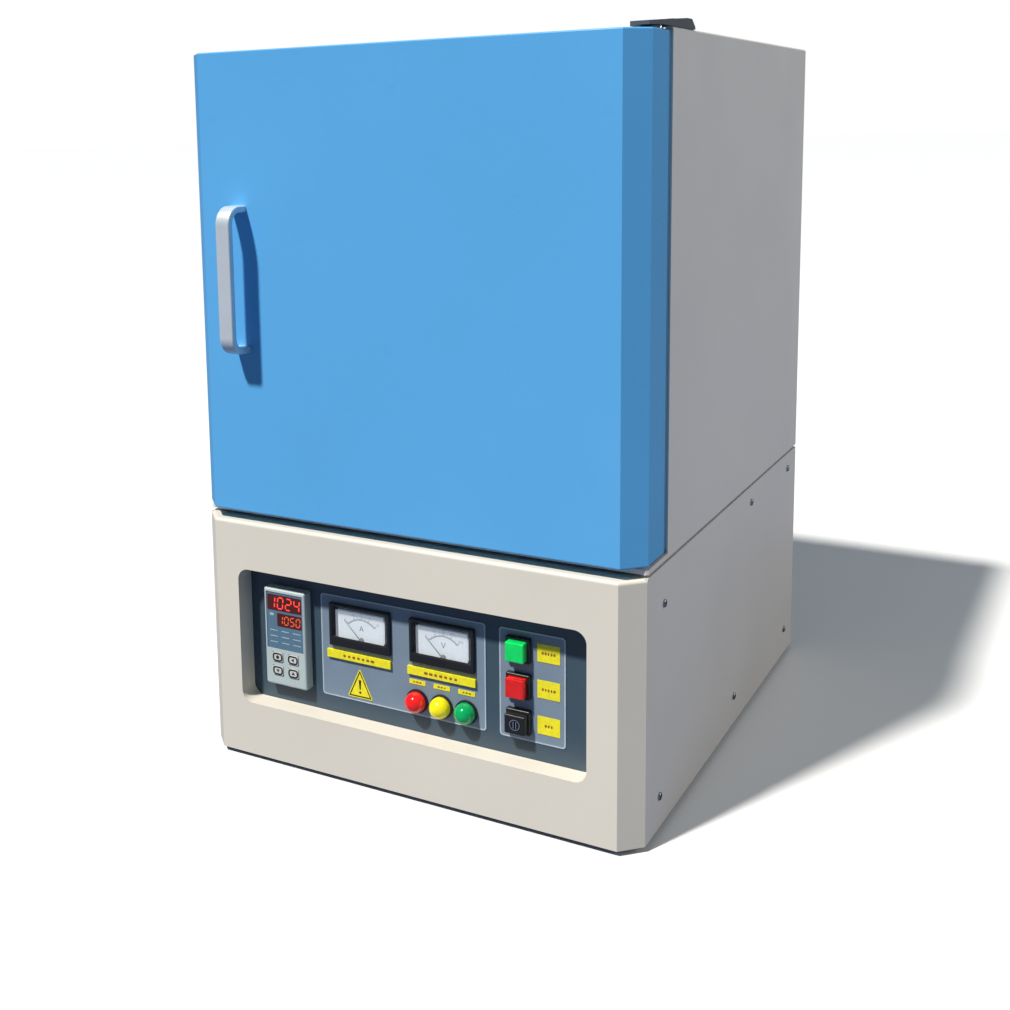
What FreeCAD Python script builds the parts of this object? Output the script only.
import FreeCAD, Part
import math
import os
import re
import Sketcher

# Bench-top electric chamber kiln. Millimetres, +X right, -Y front, +Z up, origin on the floor
# under the middle of the cabinet. The door is hinged on the right; the controls sit in the base.

DIMENSIONS = [
    # cabinet
    ("half_width", 213.5, "half the cabinet width"),
    ("half_depth", 250.5, "half the cabinet depth"),
    ("corner", 17.5, "chamfer of the vertical front corners"),
    ("sheet", 1.5, "sheet metal thickness"),
    ("foot_height", 5, "rubber foot height"),
    ("foot_radius", 16, "rubber foot radius"),
    ("foot_inset", 52, "foot centre from the cabinet edges"),
    ("base_top", 229.4, "top of the control base"),
    ("seam", 2.6, "sealing strip between base and furnace casing"),
    ("lip_top", 236.2, "top of the furnace floor tray under the door"),
    ("lip_setback", 18.5, "tray front behind the base front"),
    ("casing_top", 654.5, "top of the furnace casing"),
    ("casing_front", -184.5, "front plane of the furnace casing behind the door"),
    ("bend", 2.5, "outer bend radius of the casing top"),
    # control window and panel
    ("window_left", -171.8, "control window left edge"),
    ("window_right", 170, "control window right edge"),
    ("window_low", 55.5, "control window lower edge"),
    ("window_high", 184.5, "control window upper edge"),
    ("window_radius", 11, "control window corner radius"),
    ("panel_face", -230.5, "front face of the recessed control panel"),
    ("panel_sheet", 2, "control panel thickness"),
    ("overlay", 0.5, "panel overlay thickness"),
    ("overlay_low", 71, "overlay lower edge"),
    ("overlay_high", 167.5, "overlay upper edge"),
    ("meter_overlay_left", -94.6, "meter overlay left edge"),
    ("meter_overlay_right", 71.5, "meter overlay right edge"),
    ("switch_overlay_left", 84, "switch overlay left edge"),
    ("switch_overlay_right", 144.2, "switch overlay right edge"),
    # temperature controller
    ("controller_x", -128.4, "controller centre"),
    ("controller_z", 120.4, "controller centre height"),
    ("controller_width", 45, "controller bezel width"),
    ("controller_height", 93, "controller bezel height"),
    ("controller_front", 10, "bezel projection from the panel"),
    ("key_travel", 0.8, "controller key travel"),
    # panel meters
    ("ammeter_x", -52.5, "ammeter centre"),
    ("voltmeter_x", 30.2, "voltmeter centre"),
    ("meter_z", 140.8, "meter centre height"),
    ("meter_width", 63, "meter bezel width"),
    ("meter_height", 40, "meter bezel height"),
    ("meter_front", 3.5, "meter bezel projection"),
    ("needle_length", 24, "needle length from its pivot"),
    # lamps and switches
    ("lamp_z", 84.8, "pilot lamp centre height"),
    ("lamp_radius", 9.3, "pilot lamp dome radius"),
    ("lamp_first", 4.9, "first pilot lamp centre"),
    ("lamp_pitch", 24.1, "pilot lamp spacing"),
    ("switch_x", 102.7, "switch column centre"),
    ("switch_z", 88, "lowest switch centre height"),
    ("switch_pitch", 31.6, "switch spacing"),
    ("button_side", 17, "square button cap side"),
    ("button_travel", 3, "push button travel"),
    # door
    ("door_front", -248.5, "door front plane"),
    ("door_back", -186.5, "door back plane"),
    ("door_low", 238.8, "door lower edge"),
    ("door_high", 651.3, "door upper edge"),
    ("door_corner", 17, "door front corner chamfer"),
    ("hinge_inset", 9, "hinge axis from the door side and back, and rear corner radius"),
    ("pin_radius", 3.5, "hinge pin radius"),
    ("pin_clearance", 0.05, "hinge pin radial running clearance"),
    ("handle_x", -156.6, "handle centre line"),
    ("handle_low", 387, "handle lower outer edge"),
    ("handle_high", 518, "handle upper outer edge"),
    ("handle_reach", 26, "handle projection from the door"),
    ("handle_width", 15, "handle bar width"),
    ("handle_bar", 6, "handle bar thickness"),
    # furnace chamber
    ("chamber_half", 100, "half the chamber width"),
    ("chamber_low", 342.5, "chamber floor"),
    ("chamber_high", 542.5, "chamber roof"),
    ("chamber_depth", 270, "chamber depth behind the mouth"),
    ("wall", 85, "ceramic fibre wall thickness"),
    ("plug_gap", 6, "clearance round the door plug"),
    ("plug_reach", 26, "door plug projection behind the door"),
    ("rear_cover", 24, "terminal cover projection behind the cabinet"),
]
ALIASES = {name for name, _, _ in DIMENSIONS}

doc = FreeCAD.newDocument("chamber_kiln")
SHEET = doc.addObject("Spreadsheet::Sheet", "Dims")
for row, (alias, number, note) in enumerate(DIMENSIONS, start=1):
    SHEET.set("A%d" % row, note)
    SHEET.set("B%d" % row, str(number))
    SHEET.setAlias("B%d" % row, alias)
doc.recompute()

NODES = []


def expression(text):
    """Point every dimension word in an expression at the spreadsheet."""
    return re.sub(r"[a-z_]+", lambda word: "Dims." + word.group() if word.group() in ALIASES
                  else word.group(), str(text))


def value(text):
    """Number behind an expression written with dimension words."""
    names = {name: float(SHEET.get(name)) for name in ALIASES}
    total = 0.0
    for sign, term in re.findall(r"([+-]?)\s*([^+-]+)", str(text).strip()):
        product = -1.0 if sign == "-" else 1.0
        for operator, factor in re.findall(r"([*/]?)\s*([a-z_0-9.]+)", term):
            number = names[factor] if factor in names else float(factor)
            product = product / number if operator == "/" else product * number
        total += product
    return total


def bind(item, **settings):
    for name, text in settings.items():
        item.setExpression(name.replace("__", "."), expression(text))


def keep(item, label):
    """Mark a finished solid as one named piece of the object."""
    item.Label = label
    NODES.append(item)
    return item


def box(label, left, right, front, back, low, high):
    item = doc.addObject("Part::Box", label)
    bind(item, Length="(%s) - (%s)" % (right, left), Width="(%s) - (%s)" % (back, front),
         Height="(%s) - (%s)" % (high, low), Placement__Base__x=left,
         Placement__Base__y=front, Placement__Base__z=low)
    return item


TURN = {
    "z": FreeCAD.Rotation(),
    "back": FreeCAD.Rotation(FreeCAD.Vector(1, 0, 0), -90),
    "front": FreeCAD.Rotation(FreeCAD.Vector(1, 0, 0), 90),
    "right": FreeCAD.Rotation(FreeCAD.Vector(0, 1, 0), 90),
}


def cylinder(label, x, y, z, radius, length, direction="z"):
    item = doc.addObject("Part::Cylinder", label)
    item.Placement.Rotation = TURN[direction]
    bind(item, Radius=radius, Height=length, Placement__Base__x=x, Placement__Base__y=y,
         Placement__Base__z=z)
    return item


def cone(label, x, y, z, radius, end_radius, length, direction="z"):
    item = doc.addObject("Part::Cone", label)
    item.Placement.Rotation = TURN[direction]
    bind(item, Radius1=radius, Radius2=end_radius, Height=length, Placement__Base__x=x,
         Placement__Base__y=y, Placement__Base__z=z)
    return item


def cut(label, base, *tools):
    item = doc.addObject("Part::Cut", label)
    item.Base = base
    item.Tool = tools[0] if len(tools) == 1 else fuse(label + "_tools", *tools)
    return item


def fuse(label, *shapes):
    item = doc.addObject("Part::MultiFuse", label)
    item.Shapes = list(shapes)
    return item


def group(label, *shapes):
    item = doc.addObject("Part::Compound", label)
    item.Links = list(shapes)
    return item


def soften(label, base, radius, test):
    """Round the edges of a piece whose midpoint passes a test."""
    doc.recompute()
    item = doc.addObject("Part::Fillet", label)
    item.Base = base
    chosen = []
    for number, edge in enumerate(base.Shape.Edges, start=1):
        middle = edge.valueAt((edge.FirstParameter + edge.LastParameter) / 2)
        if test(edge, middle):
            chosen.append((number, value(radius), value(radius)))
    item.Edges = chosen
    return item


def along(edge, axis):
    """True for a straight edge parallel to one axis."""
    if not isinstance(edge.Curve, Part.Line):
        return False
    return abs(abs(edge.Curve.Direction.dot(axis)) - 1) < 1e-6


X_AXIS = FreeCAD.Vector(1, 0, 0)
Y_AXIS = FreeCAD.Vector(0, 1, 0)
Z_AXIS = FreeCAD.Vector(0, 0, 1)


def outline(body, name, role, corners, height):
    """Closed sketch of straight sides on an origin plane, every corner bound to the sheet."""
    sketch = body.newObject("Sketcher::SketchObject", name)
    plane = [item for item in body.Origin.OriginFeatures if item.Role == role][0]
    sketch.AttachmentSupport = [(plane, "")]
    sketch.MapMode = "FlatFace"
    sketch.setExpression("AttachmentOffset.Base.z", expression(height))
    points = [FreeCAD.Vector(value(a), value(b), 0) for a, b in corners]
    count = len(points)
    for index, point in enumerate(points):
        sketch.addGeometry(Part.LineSegment(point, points[(index + 1) % count]), False)
    for index in range(count):
        sketch.addConstraint(Sketcher.Constraint("Coincident", index, 2, (index + 1) % count, 1))
    for index, (a, b) in enumerate(corners):
        for kind, text in (("DistanceX", a), ("DistanceY", b)):
            number = sketch.addConstraint(Sketcher.Constraint(kind, index, 1, value(text)))
            sketch.setExpression("Constraints[%d]" % number, expression(text))
    return sketch


def padded_body(label, role, corners, start, length):
    """PartDesign body made by padding one outline from a start height."""
    body = doc.addObject("PartDesign::Body", label)
    sketch = outline(body, label + "_outline", role, corners, start)
    pad = body.newObject("PartDesign::Pad", label + "_pad")
    pad.Profile = sketch
    pad.setExpression("Length", expression(length))
    doc.recompute()
    return body


def pocket(body, name, role, corners, start, length):
    """Pocket cut upwards from a start height; it has to take material away."""
    sketch = outline(body, name + "_outline", role, corners, start)
    before = body.Shape.Volume
    feature = body.newObject("PartDesign::Pocket", name)
    feature.Profile = sketch
    feature.Reversed = True
    feature.setExpression("Length", expression(length))
    doc.recompute()
    if not body.Shape.Volume < before - 1:
        raise RuntimeError(name + " removed nothing")
    return feature


def solids(label, shapes):
    """One piece made by Part functions, as one solid or several separate ones."""
    item = doc.addObject("Part::Feature", label)
    item.Shape = Part.makeCompound(shapes)
    item.Placement = FreeCAD.Placement()
    return item


# ---- base ----------------------------------------------------------------------------------

def base_front_panel():
    body = padded_body("base_front_body", "XY_Plane", [
        ("-half_width", "corner - half_depth"), ("corner - half_width", "-half_depth"),
        ("half_width - corner", "-half_depth"), ("half_width", "corner - half_depth")],
        "foot_height", "base_top - foot_height")
    pocket(body, "base_front_hollow", "XY_Plane", [
        ("sheet*0.59 - half_width", "corner - half_depth"),
        ("corner - half_width + sheet*0.42", "sheet - half_depth"),
        ("half_width - corner - sheet*0.42", "sheet - half_depth"),
        ("half_width - sheet*0.59", "corner - half_depth")],
        "foot_height + sheet", "base_top - foot_height - 2*sheet")
    rounded = soften("base_front_rounded", body, "3", lambda edge, middle:
                     abs(middle.z - value("base_top")) < 0.01
                     and middle.y < value("corner - half_depth") - 0.1)
    collar = window_block("window_collar", "window_left - sheet", "window_right + sheet",
                          "0.2 - half_depth", "panel_face", "window_low - sheet",
                          "window_high + sheet", "window_radius + sheet")
    hole = window_block("window_hole", "window_left", "window_right", "-half_depth - 5",
                        "panel_face + 5", "window_low", "window_high", "window_radius")
    joined = fuse("base_front_joined", rounded, collar)
    keep(cut("base_front_panel_cut", joined, hole), "base_front_panel")


def window_block(label, left, right, front, back, low, high, radius):
    """Rectangular block through the front with rounded corners."""
    block = box(label + "_block", left, right, front, back, low, high)
    return soften(label, block, radius, lambda edge, middle: along(edge, Y_AXIS))


def base_sides():
    for name, outer, inner in (("left", "-half_width", "sheet - half_width"),
                               ("right", "half_width - sheet", "half_width")):
        keep(box("base_side_%s_box" % name, outer, inner, "corner - half_depth + 0.3",
                 "half_depth", "foot_height", "base_top"), "base_side_" + name)


def base_rear_panel():
    plate = box("rear_plate", "sheet - half_width + 0.3", "half_width - sheet - 0.3",
                "half_depth - sheet", "half_depth", "foot_height + sheet + 0.3",
                "base_top - sheet - 0.3")
    fan_hole = cylinder("rear_fan_hole", "110", "half_depth - 5", "120", "37", "10", "back")
    gland_hole = cylinder("rear_gland_hole", "-150", "half_depth - 5", "45", "8.2", "10", "back")
    breaker_hole = box("rear_breaker_hole", "-168.5", "-131.5", "half_depth - 5",
                       "half_depth + 5", "97.5", "142.5")
    slots = [box("rear_slot_%d" % index, str(-60 + 14 * index), str(-55 + 14 * index),
                 "half_depth - 5", "half_depth + 5", "85", "155") for index in range(7)]
    keep(cut("base_rear_cut", plate, fan_hole, gland_hole, breaker_hole, *slots),
         "base_rear_panel")


def base_floor_pan():
    pan = box("floor_pan_sheet", "sheet - half_width + 0.3", "half_width - sheet - 0.3",
              "corner - half_depth + 0.3", "half_depth", "foot_height", "foot_height + sheet")
    slots = [box("floor_slot_%d" % index, str(-70 + 20 * index), str(-64 + 20 * index),
                 "-60", "80", "0", "20") for index in range(8)]
    keep(cut("floor_pan_cut", pan, *slots), "base_floor_pan")


def base_top_deck():
    keep(box("top_deck_sheet", "sheet - half_width + 0.3", "half_width - sheet - 0.3",
             "corner - half_depth + 0.3", "half_depth", "base_top - sheet", "base_top"),
         "base_top_deck")


def feet():
    shapes = []
    for side in (-1, 1):
        for end in (-1, 1):
            centre = FreeCAD.Vector(side * value("half_width - foot_inset"),
                                    end * value("half_depth - foot_inset"), 0)
            pad = Part.makeCone(value("foot_radius - 1.5"), value("foot_radius"),
                                value("foot_height"), centre)
            shapes.append(pad.cut(Part.makeCylinder(5, 2.2, centre)))
    keep(solids("rubber_feet", shapes), "feet")


def seam_gasket():
    ring = box("seam_strip", "6 - half_width", "half_width - 6", "26 - half_depth",
               "half_depth - 6", "base_top", "base_top + seam")
    middle = box("seam_middle", "20 - half_width", "half_width - 20", "40 - half_depth",
                 "half_depth - 20", "base_top - 1", "base_top + seam + 1")
    keep(cut("seam_ring", ring, middle), "seam_gasket")


def side_screws():
    shapes = []
    spots = [(-191.7, 196.6), (70.7, 213.3), (-199.2, 33.1), (215, 213.3), (215, 33.1), (20, 33.1)]
    for side in (-1, 1):
        for y, z in spots:
            start = FreeCAD.Vector(side * value("half_width"), y, z)
            head = Part.makeCylinder(3.4, 1.6, start, FreeCAD.Vector(side, 0, 0))
            rim = max(head.Edges, key=lambda edge: edge.CenterOfMass.x * side)
            head = head.makeFillet(0.9, [rim])
            cross = Part.makeBox(1, 3.6, 0.9, FreeCAD.Vector(-0.5, -1.8, -0.45))
            cross = cross.fuse(Part.makeBox(1, 0.9, 3.6, FreeCAD.Vector(-0.5, -0.45, -1.8)))
            cross.translate(start + FreeCAD.Vector(side * 1.6, 0, 0))
            shapes.append(head.cut(cross))
    keep(solids("screw_heads", shapes), "side_screws")


# ---- control panel -------------------------------------------------------------------------

SWITCH_ROWS = ("switch_z", "switch_z + switch_pitch", "switch_z + 2*switch_pitch")
LAMPS = (("red", "lamp_first"), ("yellow", "lamp_first + lamp_pitch"),
         ("green", "lamp_first + 2*lamp_pitch"))


def control_panel():
    plate = box("panel_plate", "-190", "186", "panel_face + 0.3", "panel_face + panel_sheet",
                "40", "198")
    holes = [box("controller_hole", "controller_x - 22.5", "controller_x + 22.5",
                 "panel_face - 3", "panel_face + 5", "controller_z - 45.5", "controller_z + 45.5")]
    for name, centre in (("ammeter", "ammeter_x"), ("voltmeter", "voltmeter_x")):
        holes.append(box(name + "_hole", centre + " - 26", centre + " + 26", "panel_face - 3",
                         "panel_face + 5", "meter_z - 16", "meter_z + 16"))
    for name, centre in LAMPS:
        holes.append(cylinder("lamp_hole_" + name, centre, "panel_face - 3", "lamp_z", "6.2",
                              "8", "back"))
    for index, row_z in enumerate(SWITCH_ROWS):
        holes.append(cylinder("switch_hole_%d" % index, "switch_x", "panel_face - 3", row_z,
                              "8.2", "8", "back"))
    keep(cut("control_panel_cut", plate, *holes), "control_panel")


def overlay_sheet(label, left, right, holes):
    block = box(label + "_block", left, right, "panel_face - overlay + 0.3", "panel_face + 0.3",
                "overlay_low", "overlay_high")
    sheet = soften(label + "_sheet", block, "3", lambda edge, middle: along(edge, Y_AXIS))
    return cut(label, sheet, *holes)


def panel_overlays():
    meter_holes = []
    for name, centre in (("ammeter", "ammeter_x"), ("voltmeter", "voltmeter_x")):
        meter_holes.append(box(name + "_cutout", centre + " - 26", centre + " + 26",
                               "panel_face - 3", "panel_face + 5", "meter_z - 16",
                               "meter_z + 16"))
    for name, centre in LAMPS:
        meter_holes.append(cylinder("lamp_cutout_" + name, centre, "panel_face - 3", "lamp_z",
                                    "6.2", "8", "back"))
    switch_holes = [cylinder("switch_cutout_%d" % index, "switch_x", "panel_face - 3", row_z,
                             "8.2", "8", "back") for index, row_z in enumerate(SWITCH_ROWS)]
    left = overlay_sheet("meter_overlay", "meter_overlay_left", "meter_overlay_right",
                         meter_holes)
    right = overlay_sheet("switch_overlay", "switch_overlay_left", "switch_overlay_right",
                          switch_holes)
    keep(group("overlay_pair", left, right), "panel_overlays")


def legend(label, left, right, low, high, rise="0.1"):
    return box(label, left, right, "panel_face - overlay - " + rise,
               "panel_face - overlay + 0.3", low, high)


def legend_plates():
    plates = [legend("ammeter_strip", "-87.2", "-21.1", "109", "116.3", "2.1"),
              legend("voltmeter_strip", "-3.9", "62.4", "109", "116.3", "2.1")]
    for name, centre in LAMPS:
        plates.append(legend("lamp_tag_" + name, centre + " - 8", centre + " + 8", "99.6",
                             "103.8"))
    for index, row_z in enumerate(SWITCH_ROWS):
        plates.append(legend("switch_tag_%d" % index, "119", "139.2", row_z + " - 7.8",
                             row_z + " + 7.8"))
    doc.recompute()
    face = value("panel_face - overlay + 0.3")
    corners = [FreeCAD.Vector(x, face, z) for x, z in ((-67.6, 74.6), (-41, 74.6), (-54.3, 102.8))]
    triangle = prism(corners, FreeCAD.Vector(0, -0.4, 0))
    upright = [edge for edge in triangle.Edges if along(edge, Y_AXIS)]
    plates.append(solids("warning_triangle", [triangle.makeFillet(1.2, upright)]))
    keep(group("legend_group", *plates), "legend_plates")


KEYS = (("key_set", -8.5, -19), ("key_shift", 8.5, -19), ("key_down", -8.5, -32),
        ("key_up", 8.5, -32))


def controller():
    bezel = box("controller_bezel_block", "controller_x - controller_width/2",
                "controller_x + controller_width/2", "panel_face - controller_front",
                "panel_face + 0.2", "controller_z - controller_height/2",
                "controller_z + controller_height/2")
    rounded = soften("controller_bezel", bezel, "2.2", lambda edge, middle:
                     along(edge, Y_AXIS) or middle.y < value("panel_face - controller_front") + 0.1)
    trunk = box("controller_trunk", "controller_x - 22.2", "controller_x + 22.2", "panel_face",
                "panel_face + 70", "controller_z - 45.2", "controller_z + 45.2")
    glass_seat = box("controller_glass_seat", "controller_x - 20", "controller_x + 20",
                     "panel_face - controller_front - 1", "panel_face - controller_front + 2.2",
                     "controller_z - 11.5", "controller_z + 43")
    wells = []
    for name, x, z in KEYS:
        wells.append(box(name + "_well", "controller_x + (%s) - 6" % x, "controller_x + (%s) + 6" % x,
                         "panel_face - controller_front - 1",
                         "panel_face - controller_front + 4", "controller_z + (%s) - 4.6" % z,
                         "controller_z + (%s) + 4.6" % z))
    joined = fuse("controller_joined", rounded, trunk)
    keep(cut("controller_case_cut", joined, glass_seat, *wells), "controller_case")
    keep(box("controller_glass", "controller_x - 19.8", "controller_x + 19.8",
             "panel_face - controller_front + 0.6", "panel_face - controller_front + 2.1",
             "controller_z - 11.3", "controller_z + 42.8"), "controller_display")
    for name, x, z in KEYS:
        cap = box(name + "_cap", "controller_x + (%s) - 5.6" % x, "controller_x + (%s) + 5.6" % x,
                  "panel_face - controller_front - 0.9", "panel_face - controller_front + 2.9",
                  "controller_z + (%s) - 4.2" % z, "controller_z + (%s) + 4.2" % z)
        keep(soften(name + "_round", cap, "1.6", lambda edge, middle: along(edge, Y_AXIS)), name)


METER_FACE = "panel_face - overlay - meter_front"


def meter(name, centre):
    rim = box(name + "_rim", centre + " - meter_width/2", centre + " + meter_width/2",
              METER_FACE, "panel_face - overlay + 0.2",
              "meter_z - meter_height/2", "meter_z + meter_height/2")
    rounded = soften(name + "_bezel", rim, "1.2", lambda edge, middle:
                     along(edge, Y_AXIS) or middle.y < value(METER_FACE) + 0.1)
    trunk = box(name + "_trunk", centre + " - 25.5", centre + " + 25.5", "panel_face - overlay",
                "panel_face + 38", "meter_z - 15.5", "meter_z + 15.5")
    funnel = solids(name + "_funnel", [meter_funnel(value(centre))])
    well = box(name + "_well", centre + " - 25", centre + " + 25", METER_FACE + " + 1.5",
               METER_FACE + " + 9.5", "meter_z - 15", "meter_z + 14.5")
    pivot = cylinder(name + "_pivot", centre, METER_FACE + " + 10.5", "meter_z - 12", "2.4",
                     "6.2", "front")
    shell = cut(name + "_shell", fuse(name + "_joined", rounded, trunk), funnel, well)
    keep(fuse(name + "_case_fused", shell, pivot), name + "_case")
    keep(solids(name + "_needle_solid", [needle(value(centre))]), name + "_needle")


def meter_funnel(centre):
    """Sloped sight opening of a meter bezel, above a deep lower band that hides the pivot."""
    rings = []
    top = value("meter_z + meter_height/2")
    low = value("meter_z - meter_height/2")
    for depth, side, head, band in ((-1.0, 2.0, 1.8, 7.6), (4.0, 5.4, 5.2, 10.4)):
        half = value("meter_width/2") - side
        y = value(METER_FACE) + depth
        ring = [FreeCAD.Vector(centre - half, y, low + band),
                FreeCAD.Vector(centre + half, y, low + band),
                FreeCAD.Vector(centre + half, y, top - head),
                FreeCAD.Vector(centre - half, y, top - head)]
        rings.append(Part.makePolygon(ring + ring[:1]))
    return Part.makeLoft(rings, True, True)


def needle(centre):
    """Pointer resting at the left end of the scale, 45 degrees from upright."""
    length = value("needle_length")
    front = value(METER_FACE) + 3.3
    blade = [FreeCAD.Vector(-0.5, 0, -1.5), FreeCAD.Vector(0.5, 0, -1.5),
             FreeCAD.Vector(0.18, 0, length), FreeCAD.Vector(-0.18, 0, length)]
    shape = Part.Face(Part.makePolygon(blade + blade[:1])).extrude(FreeCAD.Vector(0, 0.5, 0))
    hub = Part.makeCylinder(2.2, 0.9, FreeCAD.Vector(0, -0.2, 0), FreeCAD.Vector(0, 1, 0))
    shape = shape.fuse(hub).removeSplitter()
    shape.rotate(FreeCAD.Vector(0, 0, 0), FreeCAD.Vector(0, 1, 0), -45)
    shape.translate(FreeCAD.Vector(centre, front, value("meter_z - 12")))
    return shape


def meters():
    dials = []
    windows = []
    for name, centre in (("ammeter", "ammeter_x"), ("voltmeter", "voltmeter_x")):
        meter(name, centre)
        dial = box(name + "_dial_plate", centre + " - 24.8", centre + " + 24.8",
                   METER_FACE + " + 5.3", METER_FACE + " + 5.9",
                   "meter_z - 14.9", "meter_z + 14.2")
        hole = cylinder(name + "_dial_hole", centre, METER_FACE + " + 9.5", "meter_z - 12",
                        "2.5", "6", "front")
        dials.append(cut(name + "_dial", dial, hole))
        windows.append(box(name + "_window", centre + " - 24.8", centre + " + 24.8",
                           METER_FACE + " + 1.6", METER_FACE + " + 2.4",
                           "meter_z - 14.3", "meter_z + 14.2"))
    keep(group("dial_pair", *dials), "meter_dials")
    keep(group("window_pair", *windows), "meter_windows")


def lamps():
    bodies = []
    face = value("panel_face - overlay")
    for name, centre in LAMPS:
        spot = FreeCAD.Vector(value(centre), face, value("lamp_z"))
        radius = value("lamp_radius")
        collar = Part.makeCylinder(radius + 1.3, 2.2, spot, FreeCAD.Vector(0, -1, 0))
        barrel = Part.makeCylinder(6, 26, spot, FreeCAD.Vector(0, 1, 0))
        nut = Part.makeCylinder(9, 4, spot + FreeCAD.Vector(0, 3, 0), FreeCAD.Vector(0, 1, 0))
        seat = Part.makeCylinder(radius - 1.2, 1.4, spot + FreeCAD.Vector(0, -0.8, 0),
                                 FreeCAD.Vector(0, -1, 0))
        bodies.append(collar.fuse(barrel).fuse(nut).cut(seat).removeSplitter())
        keep(solids("lamp_%s_lens" % name, [lamp_lens(spot, radius)]), "lamp_" + name)
    keep(solids("lamp_body_group", bodies), "lamp_bodies")


def lamp_lens(spot, radius):
    """Domed lens on a short skirt with a spigot into its collar."""
    front = FreeCAD.Vector(0, -1, 0)
    rise = 8.5
    ball = (radius * radius + rise * rise) / (2 * rise)
    spigot = Part.makeCylinder(radius - 1.4, 3, FreeCAD.Vector(0, -0.9, 0), front)
    skirt = Part.makeCylinder(radius, 3.1, FreeCAD.Vector(0, -2.4, 0), front)
    dome = Part.makeSphere(ball, FreeCAD.Vector(0, ball - rise - 5.5, 0))
    dome = dome.common(Part.makeCylinder(radius + 2, rise + 1, FreeCAD.Vector(0, -5.5, 0), front))
    lens = skirt.fuse([spigot, dome]).removeSplitter()
    lens.translate(spot)
    return lens


def switches():
    face = "panel_face - overlay"
    housings = []
    for index, name in ((1, "stop"), (2, "start")):
        row_z = SWITCH_ROWS[index]
        collar = box(name + "_collar", "switch_x - 11", "switch_x + 11", face + " - 4.5", face,
                     row_z + " - 11", row_z + " + 11")
        rounded = soften(name + "_collar_round", collar, "1.5", lambda edge, middle:
                         along(edge, Y_AXIS) or middle.y < value("panel_face - overlay - 4.4"))
        barrel = cylinder(name + "_barrel", "switch_x", face, row_z, "8", "30", "back")
        well = box(name + "_well", "switch_x - button_side/2 - 0.4",
                   "switch_x + button_side/2 + 0.4", face + " - 8", face + " - 0.6",
                   row_z + " - button_side/2 - 0.4", row_z + " + button_side/2 + 0.4")
        socket = cylinder(name + "_socket", "switch_x", face + " - 2", row_z, "3.08", "14", "back")
        housings.append(cut(name + "_housing", fuse(name + "_housing_joined", rounded, barrel),
                            well, socket))
        cap = box(name + "_cap", "switch_x - button_side/2", "switch_x + button_side/2",
                  face + " - 11", face + " - 4", row_z + " - button_side/2",
                  row_z + " + button_side/2")
        soft = soften(name + "_cap_round", cap, "1.3", lambda edge, middle:
                      along(edge, Y_AXIS) or middle.y < value("panel_face - overlay - 10.9"))
        stem = cylinder(name + "_stem", "switch_x", face + " - 5", row_z, "3", "12", "back")
        keep(fuse(name + "_button_fused", soft, stem), name + "_button")
    keep(group("housing_pair", *housings), "button_housings")


def key_switch():
    face = "panel_face - overlay"
    row_z = SWITCH_ROWS[0]
    collar = box("lock_collar", "switch_x - 11", "switch_x + 11", face + " - 4.5", face,
                 row_z + " - 11", row_z + " + 11")
    rounded = soften("lock_collar_round", collar, "1.5", lambda edge, middle:
                     along(edge, Y_AXIS) or middle.y < value("panel_face - overlay - 4.4"))
    head = box("lock_head", "switch_x - 9.4", "switch_x + 9.4", face + " - 11", face + " - 4.4",
               row_z + " - 8.4", row_z + " + 8.4")
    soft = soften("lock_head_round", head, "1.2", lambda edge, middle:
                  along(edge, Y_AXIS) or middle.y < value("panel_face - overlay - 10.9"))
    barrel = cylinder("lock_barrel", "switch_x", face, row_z, "8", "34", "back")
    bore = cylinder("lock_bore", "switch_x", face + " - 12", row_z, "5.05", "36", "back")
    joined = fuse("lock_joined", rounded, soft, barrel)
    keep(cut("lock_housing_cut", joined, bore), "key_switch_housing")
    plug = cylinder("lock_plug", "switch_x", face + " - 10.6", row_z, "5", "34", "back")
    slot = box("lock_slot", "switch_x - 0.9", "switch_x + 0.9", face + " - 12", face + " - 5",
               row_z + " - 3.4", row_z + " + 3.4")
    keep(cut("lock_plug_cut", plug, slot), "key_switch_cylinder")


# ---- electrical parts in the base ----------------------------------------------------------

def cooling_fan():
    frame = box("fan_block", "70", "150", "half_depth - sheet - 25.3", "half_depth - sheet - 0.3",
                "80", "160")
    rounded = soften("fan_block_round", frame, "4", lambda edge, middle: along(edge, Y_AXIS))
    duct = cylinder("fan_duct", "110", "half_depth - 40", "120", "37", "50", "back")
    ring = cut("fan_ring", rounded, duct)
    struts = [box("fan_strut_%d" % index, left, right, "half_depth - sheet - 25.3",
                  "half_depth - sheet - 22.3", low, high) for index, (left, right, low, high) in
              enumerate((("72", "148", "118.5", "121.5"), ("108.5", "111.5", "82", "158")))]
    hub = cylinder("fan_hub_seat", "110", "half_depth - sheet - 25.3", "120", "15", "3", "back")
    spindle = cylinder("fan_spindle", "110", "half_depth - sheet - 23", "120", "2", "19", "back")
    keep(fuse("fan_frame_fused", ring, hub, spindle, *struts), "fan_frame")
    keep(solids("fan_rotor_solid", [fan_rotor()]), "fan_rotor")


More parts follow.
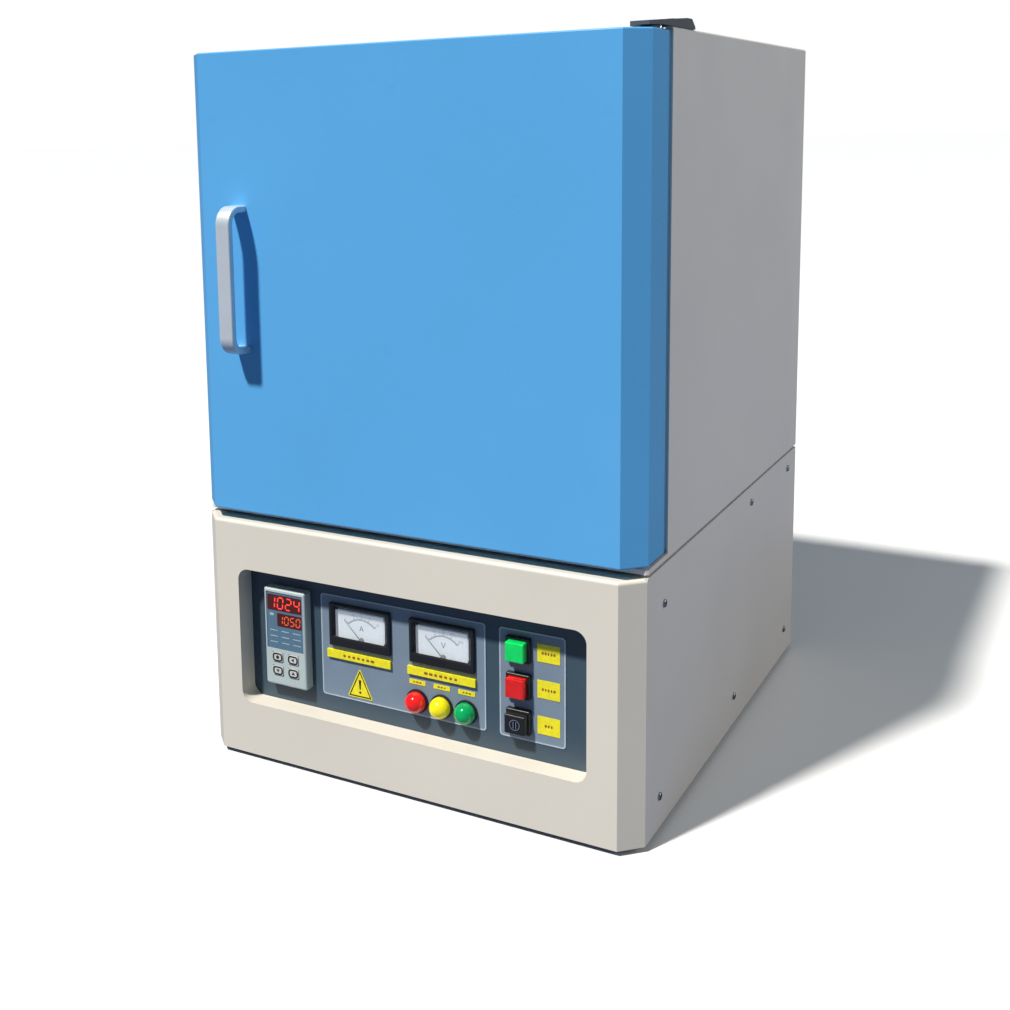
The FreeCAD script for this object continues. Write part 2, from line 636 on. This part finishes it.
def fan_rotor():
    front = value("half_depth - sheet - 21.5")
    back = FreeCAD.Vector(0, 1, 0)
    rotor = Part.makeCylinder(14, 18, FreeCAD.Vector(0, 0, 0), back)
    for index in range(7):
        blade = Part.makeBox(22.5, 1.2, 16, FreeCAD.Vector(12.5, 8.4, -8))
        blade.rotate(FreeCAD.Vector(24, 9, 0), FreeCAD.Vector(1, 0, 0), 35)
        blade.rotate(FreeCAD.Vector(0, 0, 0), back, 360 / 7 * index)
        rotor = rotor.fuse(blade)
    rotor = rotor.cut(Part.makeCylinder(2.06, 30, FreeCAD.Vector(0, -5, 0), back))
    rotor.translate(FreeCAD.Vector(110, front, 120))
    return rotor.removeSplitter()


def power_relay():
    floor = "foot_height + sheet"
    plate = box("sink_plate", "-40", "60", "60", "140", floor, "foot_height + sheet + 8")
    fins = [box("sink_fin_%d" % index, str(-40 + 10.5 * index), str(-38 + 10.5 * index), "60",
                "140", floor, "foot_height + sheet + 30") for index in range(10)]
    cap = box("sink_cap", "-12", "34", "72", "130", "foot_height + sheet + 29", "foot_height + sheet + 58")
    keep(fuse("relay_fused", plate, cap, *fins), "power_relay")


def contactor():
    floor = "foot_height + sheet"
    block = box("contactor_block", "-170", "-120", "40", "120", floor, "80")
    shoulder = box("contactor_shoulder", "-166", "-124", "55", "105", "79", "95")
    steps = [box("contactor_cut_%d" % index, str(-164 + 15 * index), str(-156 + 15 * index),
                 "39", "54", "60", "81") for index in range(3)]
    keep(cut("contactor_cut", fuse("contactor_joined", block, shoulder), *steps), "contactor")


def terminal_block():
    floor = "foot_height + sheet"
    rail = box("terminal_rail", "100", "180", "150", "185", floor, "foot_height + sheet + 6")
    blocks = [box("terminal_%d" % index, str(102 + 11 * index), str(112 + 11 * index), "145",
                  "190", "foot_height + sheet + 5", "55") for index in range(7)]
    screws = [cylinder("terminal_screw_%d" % index, str(107 + 11 * index), "152", "52", "3",
                       "4") for index in range(7)]
    keep(cut("terminal_cut", fuse("terminal_joined", rail, *blocks), *screws), "terminal_block")


def mains_breaker():
    block = box("breaker_block", "-168", "-132", "half_depth - 60", "half_depth - 6", "82", "158")
    nose = box("breaker_nose", "-168", "-132", "half_depth - 7", "half_depth + 3", "98", "142")
    slot = box("breaker_slot", "-161", "-139", "half_depth - 9", "half_depth + 4", "108", "132")
    bore = cylinder("breaker_bore", "-168.5", "half_depth - 8", "120", "1.6", "37", "right")
    keep(cut("breaker_cut", fuse("breaker_joined", block, nose), slot, bore,
             box("breaker_room", "-161", "-139", "half_depth - 19", "half_depth - 8", "108", "132")),
         "mains_breaker")
    rocker = box("lever_paddle", "-160", "-140", "half_depth - 7", "half_depth + 11", "117", "123")
    drum = cylinder("lever_drum", "-160", "half_depth - 8", "120", "6.5", "20", "right")
    axle = cylinder("lever_axle", "-167.5", "half_depth - 8", "120", "1.55", "35", "right")
    lever = fuse("lever_fused", rocker, drum, axle)
    doc.recompute()
    shape = lever.Shape.copy()
    shape.rotate(FreeCAD.Vector(-150, value("half_depth - 8"), 120), X_AXIS, -25)
    keep(solids("lever_tilted", [shape]), "breaker_lever")


def cable_gland():
    nut = Part.makePolygon([FreeCAD.Vector(12.5 * math.cos(math.radians(60 * k)), 0,
                                           12.5 * math.sin(math.radians(60 * k)))
                            for k in range(7)])
    nut = Part.Face(nut).extrude(FreeCAD.Vector(0, 6, 0))
    dome = Part.makeCone(10.5, 8, 12, FreeCAD.Vector(0, 6, 0), Y_AXIS)
    thread = Part.makeCylinder(8, 14, FreeCAD.Vector(0, -14, 0), Y_AXIS)
    locknut = Part.makeCylinder(12, 4, FreeCAD.Vector(0, -7, 0), Y_AXIS)
    bore = Part.makeCylinder(4.5, 50, FreeCAD.Vector(0, -20, 0), Y_AXIS)
    gland = nut.fuse(dome).fuse(thread).fuse(locknut).cut(bore).removeSplitter()
    gland.translate(FreeCAD.Vector(-150, value("half_depth"), 45))
    keep(solids("gland_solid", [gland]), "cable_gland")


# ---- furnace casing and chamber ------------------------------------------------------------

def casing_shell():
    body = padded_body("casing_shell_body", "XZ_Plane", [
        ("-half_width", "base_top + seam"), ("sheet - half_width", "base_top + seam"),
        ("sheet - half_width", "casing_top - sheet"),
        ("half_width - sheet", "casing_top - sheet"),
        ("half_width - sheet", "base_top + seam"), ("half_width", "base_top + seam"),
        ("half_width", "casing_top"), ("-half_width", "casing_top")],
        "-half_depth", "half_depth + casing_front * (-1)")
    keep(soften("casing_shell_round", body, "bend", lambda edge, middle:
                along(edge, Y_AXIS) and middle.z > value("casing_top") - 0.1
                and abs(middle.x) > value("half_width") - 0.1), "casing_shell")


def casing_floor():
    inner = "half_width - sheet - 0.2"
    front = "lip_setback - half_depth"
    body = padded_body("casing_floor_body", "XY_Plane", [
        ("-half_width + sheet + 0.2", "half_depth - sheet - 0.3"),
        ("-half_width + sheet + 0.2", "casing_front - 0.2"),
        ("-half_width", "casing_front - 0.2"), ("-half_width", front + " + 2"),
        ("2 - half_width", front), ("half_width - 2", front),
        ("half_width", front + " + 2"), ("half_width", "casing_front - 0.2"),
        (inner, "casing_front - 0.2"), (inner, "half_depth - sheet - 0.3")],
        "base_top + seam", "lip_top - base_top - seam")
    pocket(body, "casing_floor_hollow", "XY_Plane", [
        ("3.5 - half_width", "half_depth - sheet - 3"), ("3.5 - half_width", front + " + 3"),
        ("half_width - 3.5", front + " + 3"), ("half_width - 3.5", "half_depth - sheet - 3")],
        "base_top + seam", "lip_top - base_top - seam - sheet")
    keep(body, "casing_floor")


def casing_rear_panel():
    plate = box("casing_rear_plate", "sheet - half_width + 0.3", "half_width - sheet - 0.3",
                "half_depth - sheet", "half_depth", "base_top + seam", "casing_top - sheet - 0.3")
    window = box("casing_rear_window", "-110", "110", "half_depth - 5", "half_depth + 5", "370",
                 "514")
    keep(cut("casing_rear_cut", plate, window), "casing_rear_panel")


def front_frame():
    plate = box("front_frame_plate", "sheet - half_width + 0.3", "half_width - sheet - 0.3",
                "casing_front", "casing_front + sheet", "lip_top", "casing_top - sheet - 0.3")
    mouth = box("front_frame_mouth", "-150", "150", "casing_front - 5", "casing_front + 5",
                "chamber_low - 50", "chamber_high + 50")
    keep(cut("front_frame_cut", plate, mouth), "front_frame")


def inner_shell():
    low = "chamber_low - wall"
    high = "chamber_high + wall"
    back = "casing_front + chamber_depth + wall"
    outer = box("inner_shell_outer", "-chamber_half - wall - 1.3", "chamber_half + wall + 1.3",
                "casing_front + sheet + 0.2", back + " + 1.3", low + " - 1.3", high + " + 1.3")
    room = box("inner_shell_room", "-chamber_half - wall - 0.3", "chamber_half + wall + 0.3",
               "casing_front", back + " + 0.3", low + " - 0.3", high + " + 0.3")
    hole = box("inner_shell_hole", "-110", "110", "50", "300", "362", "522")
    legs = []
    for name, left, right in (("left", "-150", "-120"), ("right", "120", "150")):
        legs.append(box("inner_leg_" + name, left, right, "casing_front + 20", back + " - 10",
                        "lip_top", low + " - 1.2"))
    keep(fuse("inner_shell_fused", cut("inner_shell_can", outer, room, hole), *legs),
         "inner_shell")


def chamber_insulation():
    back = "casing_front + chamber_depth"
    block = box("insulation_block", "-chamber_half - wall", "chamber_half + wall",
                "casing_front + sheet + 0.3", back, "chamber_low - wall", "chamber_high + wall")
    room = box("insulation_room", "-chamber_half", "chamber_half", "casing_front - 5",
               back + " + 5", "chamber_low", "chamber_high")
    recesses = []
    for name, left, right in (("left", "-chamber_half - 7", "1 - chamber_half"),
                              ("right", "chamber_half - 1", "chamber_half + 7")):
        recesses.append(box("heater_recess_" + name, left, right, "casing_front + 40",
                            back + " + 5", "chamber_low + 22", "chamber_low + 178"))
    keep(cut("insulation_cut", block, room, *recesses), "chamber_insulation")
    rear = box("rear_insulation_block", "-chamber_half - wall", "chamber_half + wall",
               back + " + 0.2", back + " + wall", "chamber_low - wall", "chamber_high + wall")
    holes = [cylinder("couple_hole", "0", back + " - 5", "chamber_high - 40", "6", "wall + 10",
                      "back")]
    for x in (-96, 96):
        for height in (32, 168):
            holes.append(cylinder("lead_hole_%d_%d" % (x > 0, height), str(x), back + " - 5",
                                  "chamber_low + %d" % height, "5", "wall + 10", "back"))
    keep(cut("rear_insulation_cut", rear, *holes), "rear_insulation")


def hearth_plate():
    slab = box("hearth_slab", "5 - chamber_half", "chamber_half - 5", "casing_front + 34",
               "casing_front + chamber_depth - 4", "chamber_low", "chamber_low + 12")
    keep(soften("hearth_round", slab, "2", lambda edge, middle: along(edge, Z_AXIS)),
         "hearth_plate")


def heating_elements():
    """Bent wire in the recess of each side wall, six rows, both ends led out at the back."""
    front = value("casing_front + 52")
    rear = value("casing_front + chamber_depth - 12")
    outlet = value("casing_front + chamber_depth + wall + 22")
    low = value("chamber_low + 32")
    pitch = 27.2
    high = low + 5 * pitch
    elements = []
    for side in (-1, 1):
        x, inner = 102.5 * side, 96 * side
        route = [(inner, outlet, low), (inner, rear + 2, low), (x, rear - 8, low)]
        for row in range(5):
            y = rear if row % 2 else front
            route += [(x, y, low + pitch * row), (x, y, low + pitch * (row + 1))]
        route += [(x, rear - 8, high), (inner, rear + 2, high), (inner, outlet, high)]
        wire = bent_rod([FreeCAD.Vector(*point) for point in route], 6, 2.6)
        sleeves = [Part.makeCylinder(5.5, 8, FreeCAD.Vector(inner, outlet - 8, z), Y_AXIS)
                   for z in (low, high)]
        elements.append(wire.fuse(sleeves))
    keep(solids("element_pair", elements), "heating_elements")


def bent_rod(route, bend, radius):
    """Round rod along a route of straight runs joined by bends."""
    edges = []
    last = route[0]
    for before, corner, after in zip(route, route[1:], route[2:]):
        back = (before - corner).normalize()
        ahead = (after - corner).normalize()
        half = back.getAngle(ahead) / 2
        start = corner + back * (bend / math.tan(half))
        end = corner + ahead * (bend / math.tan(half))
        inward = (back + ahead).normalize()
        middle = corner + inward * (bend / math.sin(half) - bend)
        edges += [Part.makeLine(last, start), Part.Arc(start, middle, end).toShape()]
        last = end
    edges.append(Part.makeLine(last, route[-1]))
    section = Part.Wire(Part.makeCircle(radius, route[0], route[1] - route[0]))
    return Part.Wire(edges).makePipeShell([section], True, False)


def thermocouple():
    back = "casing_front + chamber_depth + wall"
    tube = cylinder("couple_tube", "0", "casing_front + chamber_depth - 35", "chamber_high - 40",
                    "4", "wall + 55", "back")
    collar = cylinder("couple_collar", "0", back + " + 1.4", "chamber_high - 40", "11", "5", "back")
    head = cylinder("couple_head", "0", back + " + 18", "chamber_high - 40", "15", "22", "back")
    keep(fuse("couple_fused", tube, collar, head), "thermocouple")


def terminal_cover():
    outer = box("cover_outer", "-120", "120", "half_depth + 0.01", "half_depth + rear_cover",
                "360", "524")
    room = box("cover_room", "-118.5", "118.5", "half_depth - 5",
               "half_depth + rear_cover - sheet", "361.5", "522.5")
    slots = [box("cover_slot_%d" % index, str(-93 + 14 * index), str(-87 + 14 * index),
                 "half_depth + rear_cover - 5", "half_depth + rear_cover + 5", "460", "505")
             for index in range(14)]
    shell = soften("cover_round", outer, "3", lambda edge, middle:
                   middle.y > value("half_depth + rear_cover") - 0.1)
    keep(cut("cover_cut", shell, room, *slots), "terminal_cover")


# ---- door ----------------------------------------------------------------------------------

def door_plan(inset):
    """Plan outline of the door with its rear hinge corner rounded about the hinge axis."""
    slope = inset * 0.414
    half = value("half_width") - inset
    front = value("door_front") + inset
    back = value("door_back")
    corner = value("door_corner")
    turn = value("hinge_inset") - inset
    axis = FreeCAD.Vector(value("half_width - hinge_inset"), value("door_back - hinge_inset"), 0)
    points = [FreeCAD.Vector(-half, back, 0),
              FreeCAD.Vector(-half, value("door_front") + corner + slope, 0),
              FreeCAD.Vector(-value("half_width") + corner + slope, front, 0),
              FreeCAD.Vector(value("half_width") - corner - slope, front, 0),
              FreeCAD.Vector(half, value("door_front") + corner + slope, 0),
              axis + FreeCAD.Vector(turn, 0, 0)]
    sides = [Part.LineSegment(a, b).toShape() for a, b in zip(points, points[1:])]
    diagonal = turn * math.sqrt(0.5)
    arc_end = axis + FreeCAD.Vector(0, turn, 0)
    sides.append(Part.Arc(points[-1], axis + FreeCAD.Vector(diagonal, diagonal, 0),
                          arc_end).toShape())
    if inset:
        drop = FreeCAD.Vector(arc_end.x, back, 0)
        sides.append(Part.LineSegment(arc_end, drop).toShape())
        arc_end = drop
    sides.append(Part.LineSegment(arc_end, points[0]).toShape())
    return Part.Face(Part.Wire(sides))


def door_shell():
    low = value("door_low")
    high = value("door_high")
    sheet = value("sheet")
    axis = FreeCAD.Vector(value("half_width - hinge_inset"), value("door_back - hinge_inset"), 0)
    outer = door_plan(0)
    outer.translate(FreeCAD.Vector(0, 0, low))
    shell = outer.extrude(FreeCAD.Vector(0, 0, high - low))
    front = [edge for edge in shell.Edges if edge.CenterOfMass.y < value("door_back") - 20
             and abs(edge.CenterOfMass.z - (low + high) / 2) > 200]
    shell = shell.makeFillet(1.4, front)
    room = door_plan(sheet)
    room.translate(FreeCAD.Vector(0, 0, low + sheet))
    shell = shell.cut(room.extrude(FreeCAD.Vector(0, 0, high - low - 2 * sheet)))
    bore = value("pin_radius + pin_clearance")
    for start in (low, high - 26):
        boss = Part.makeCylinder(value("hinge_inset - 0.8"), 26,
                                 axis + FreeCAD.Vector(0, 0, start))
        shell = shell.fuse(boss)
    for start in (low - 1, high - 24):
        shell = shell.cut(Part.makeCylinder(bore, 25, axis + FreeCAD.Vector(0, 0, start)))
    keep(solids("door_shell_solid", [shell.removeSplitter()]), "door_shell")


def door_back_plate():
    plate = box("door_back_sheet", "sheet - half_width + 0.3", "half_width - hinge_inset - 4",
                "door_back - sheet", "door_back", "door_low + sheet + 0.3",
                "door_high - sheet - 0.3")
    hole = box("door_back_hole", "plug_gap - chamber_half - 3", "chamber_half - plug_gap + 3",
               "door_back - 5", "door_back + 5", "chamber_low + plug_gap - 3",
               "chamber_high - plug_gap + 3")
    keep(cut("door_back_cut", plate, hole), "door_back_plate")


def door_insulation():
    fill = box("door_fill", "22 - half_width", "half_width - 32", "door_front + sheet + 0.3",
               "door_back - sheet - 0.3", "door_low + 4", "door_high - 4")
    plug = box("door_plug", "plug_gap - chamber_half", "chamber_half - plug_gap",
               "door_back - sheet - 1", "door_back + plug_reach", "chamber_low + plug_gap",
               "chamber_high - plug_gap")
    soft = soften("door_plug_round", plug, "3", lambda edge, middle:
                  middle.y > value("door_back + plug_reach") - 0.1)
    keep(fuse("door_insulation_fused", fill, soft), "door_insulation")


def door_gasket():
    ring = box("gasket_outer", "-160", "160", "door_back", "casing_front - 0.1",
               "chamber_low - 60", "chamber_high + 60")
    hole = box("gasket_hole", "-152", "152", "door_back - 1", "casing_front + 1",
               "chamber_low - 52", "chamber_high + 52")
    keep(cut("gasket_ring", ring, hole), "door_gasket")


def door_magnet():
    keep(box("door_magnet_bar", "-208", "-198", "door_back + 0.3", "casing_front", "430", "480"),
         "door_magnet")


def door_handle():
    """Flat bar bent to a bow, its two ends fixed to the door."""
    back = "door_front - handle_reach + handle_bar"
    body = padded_body("handle_body", "YZ_Plane", [
        ("door_front", "handle_low"), ("door_front", "handle_low + handle_bar"),
        (back, "handle_low + handle_bar"), (back, "handle_high - handle_bar"),
        ("door_front", "handle_high - handle_bar"), ("door_front", "handle_high"),
        ("door_front - handle_reach", "handle_high"), ("door_front - handle_reach", "handle_low")],
        "handle_x - handle_width/2", "handle_width")
    arms = soften("handle_inner", body, "10", lambda edge, middle: along(edge, X_AXIS)
                  and abs(middle.y - value(back)) < 0.1)
    bends = soften("handle_bends", arms, "16", lambda edge, middle: along(edge, X_AXIS)
                   and middle.y < value("door_front - handle_reach") + 0.1)
    keep(soften("handle_edges", bends, "1.6", lambda edge, middle:
                abs(abs(middle.x - value("handle_x")) - value("handle_width/2")) < 0.05
                and middle.y < value("door_front") - 1), "door_handle")


def hinges():
    """Top and bottom pivot plates on the casing, each with its pin down the hinge axis."""
    top = value("casing_top")
    corners = [(213.5, -129.5), (213.5, -210), (206, -218), (195, -218), (186.5, -206),
               (186.5, -129.5)]
    upper = prism([FreeCAD.Vector(x, y, top) for x, y in corners], FreeCAD.Vector(0, 0, 8))
    profile = [(-218, 0), (-218, 3), (-150, 8), (-138, 8), (-129.5, 2), (-129.5, 0)]
    wedge = prism([FreeCAD.Vector(180, y, top + z) for y, z in profile],
                  FreeCAD.Vector(40, 0, 0))
    upper = upper.common(wedge)
    axis = FreeCAD.Vector(value("half_width - hinge_inset"), value("door_back - hinge_inset"), 0)
    seat = value("pin_radius") + 0.01
    upper = upper.cut(Part.makeCylinder(seat, 20, axis + FreeCAD.Vector(0, 0, top - 5)))
    low = value("lip_top")
    lower = Part.makeBox(56, 33, 1.6, FreeCAD.Vector(155, -218, low))
    lower = lower.cut(Part.makeCylinder(seat, 20, axis + FreeCAD.Vector(0, 0, low - 5)))
    keep(solids("hinge_plate_pair", [upper, lower]), "hinge_plates")
    radius = value("pin_radius")
    pins = []
    for start, length, collar in ((top - 24, 28, top - 2.4), (low, 22, low + 1.7)):
        pin = Part.makeCylinder(radius, length, axis + FreeCAD.Vector(0, 0, start))
        washer = Part.makeCylinder(7, 0.5, axis + FreeCAD.Vector(0, 0, collar))
        pins.append(pin.fuse(washer).removeSplitter())
    keep(solids("hinge_pin_pair", pins), "hinge_pins")


def prism(points, height):
    return Part.Face(Part.makePolygon(points + points[:1])).extrude(height)


BUILDERS = [
    base_front_panel, base_sides, base_rear_panel, base_floor_pan, base_top_deck, feet,
    seam_gasket, side_screws, control_panel, panel_overlays, legend_plates,
    controller, meters, lamps, switches, key_switch, cooling_fan, power_relay, contactor,
    terminal_block, mains_breaker, cable_gland, casing_shell, casing_floor, casing_rear_panel,
    front_frame, inner_shell, chamber_insulation, hearth_plate, heating_elements, thermocouple,
    terminal_cover, door_shell, door_back_plate, door_insulation, door_gasket, door_magnet,
    door_handle, hinges,
]
for build in BUILDERS:
    build()
doc.recompute()

for item in doc.Objects:
    if "Invalid" in item.State or "Error" in item.State:
        raise RuntimeError("%s did not recompute: %s" % (item.Label, item.State))

os.makedirs("parts", exist_ok=True)
for node in NODES:
    if node.Shape.isNull() or not node.Shape.isValid():
        raise RuntimeError(node.Label + " has no valid shape")
    node.Shape.exportStep("parts/%s.step" % node.Label)
    size = node.Shape.BoundBox
    print("%-22s solids %2d  x %7.1f %7.1f  y %7.1f %7.1f  z %7.1f %7.1f" % (
        node.Label, len(node.Shape.Solids), size.XMin, size.XMax, size.YMin, size.YMax,
        size.ZMin, size.ZMax))
print(len(NODES), "pieces")
